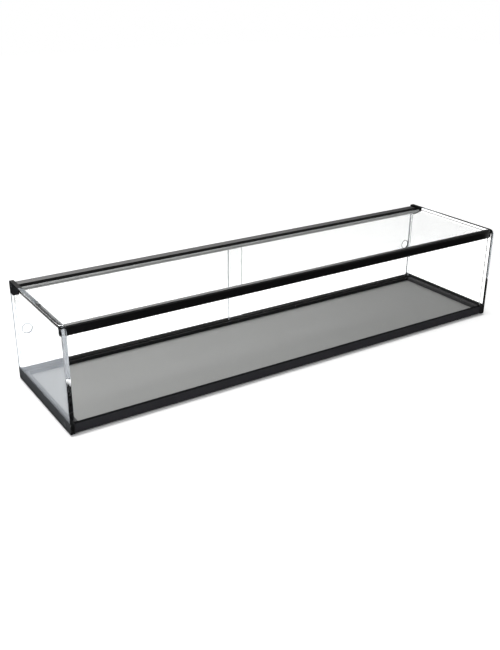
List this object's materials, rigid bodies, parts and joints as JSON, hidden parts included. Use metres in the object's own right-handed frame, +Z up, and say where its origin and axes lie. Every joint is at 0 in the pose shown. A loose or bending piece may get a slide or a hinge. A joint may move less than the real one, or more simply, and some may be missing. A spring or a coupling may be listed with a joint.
{
  "type": "countertop display case",
  "caption": "Low glass countertop display case with black rails, a grey floor and sliding glass doors at the rear.",
  "frame": {"origin": "centre of the case's outer box, on the surface it stands on", "axes": "+X along the length to the right as seen from the front, +Y from the front glass towards the rear doors, +Z up"},
  "size_m": [1, 0.256, 0.2],
  "materials": {
    "clear_glass": "clear, polished edges",
    "black_rail": "satin black anodised",
    "grey_cover": "satin grey",
    "black_plastic": "matt black",
    "black_rubber": "matt black",
    "black_tape": "matt black",
    "grey_floor": "fine satin grey",
    "black_screw": "blackened"
  },
  "bodies": {
    "case": {"left_side_glass": "clear_glass", "right_side_glass": "clear_glass", "front_glass": "clear_glass", "top_glass": "clear_glass", "front_top_rail": "black_rail", "rear_top_rail": "black_rail", "base_front_rail": "black_rail", "base_rear_rail": "black_rail", "left_base_rail": "black_rail", "right_base_rail": "black_rail", "floor_stiffener_left": "black_rail", "floor_stiffener_right": "black_rail", "rear_rail_cover_strip": "grey_cover", "left_rail_end_cap": "black_plastic", "right_rail_end_cap": "black_plastic", "top_door_track": "black_plastic", "bottom_door_track": "black_plastic", "corner_block_front_left": "black_plastic", "corner_block_front_right": "black_plastic", "corner_block_rear_left": "black_plastic", "corner_block_rear_right": "black_plastic", "door_stop_left_inner": "black_rubber", "door_stop_left_outer": "black_rubber", "door_stop_right_inner": "black_rubber", "door_stop_right_outer": "black_rubber", "setting_block_left": "black_rubber", "setting_block_right": "black_rubber", "foot_front_left": "black_rubber", "foot_front_right": "black_rubber", "foot_rear_left": "black_rubber", "foot_rear_right": "black_rubber", "front_glazing_strip": "black_tape", "rear_glazing_strip": "black_tape", "floor_panel": "grey_floor", "screw_left_front_top": "black_screw", "screw_left_rear_top": "black_screw", "screw_left_base_front": "black_screw", "screw_left_base_rear": "black_screw", "screw_right_front_top": "black_screw", "screw_right_rear_top": "black_screw", "screw_right_base_front": "black_screw", "screw_right_base_rear": "black_screw"},
    "left_door": {"left_door_glass": "clear_glass"},
    "right_door": {"right_door_glass": "clear_glass"}
  },
  "joints": [
    {"name": "left_door_slide", "type": "slide", "parent": "case", "child": "left_door", "axis": [1, 0, 0], "range_m": [0, 0.489]},
    {"name": "right_door_slide", "type": "slide", "parent": "case", "child": "right_door", "axis": [-1, 0, 0], "range_m": [0, 0.452]}
  ]
}
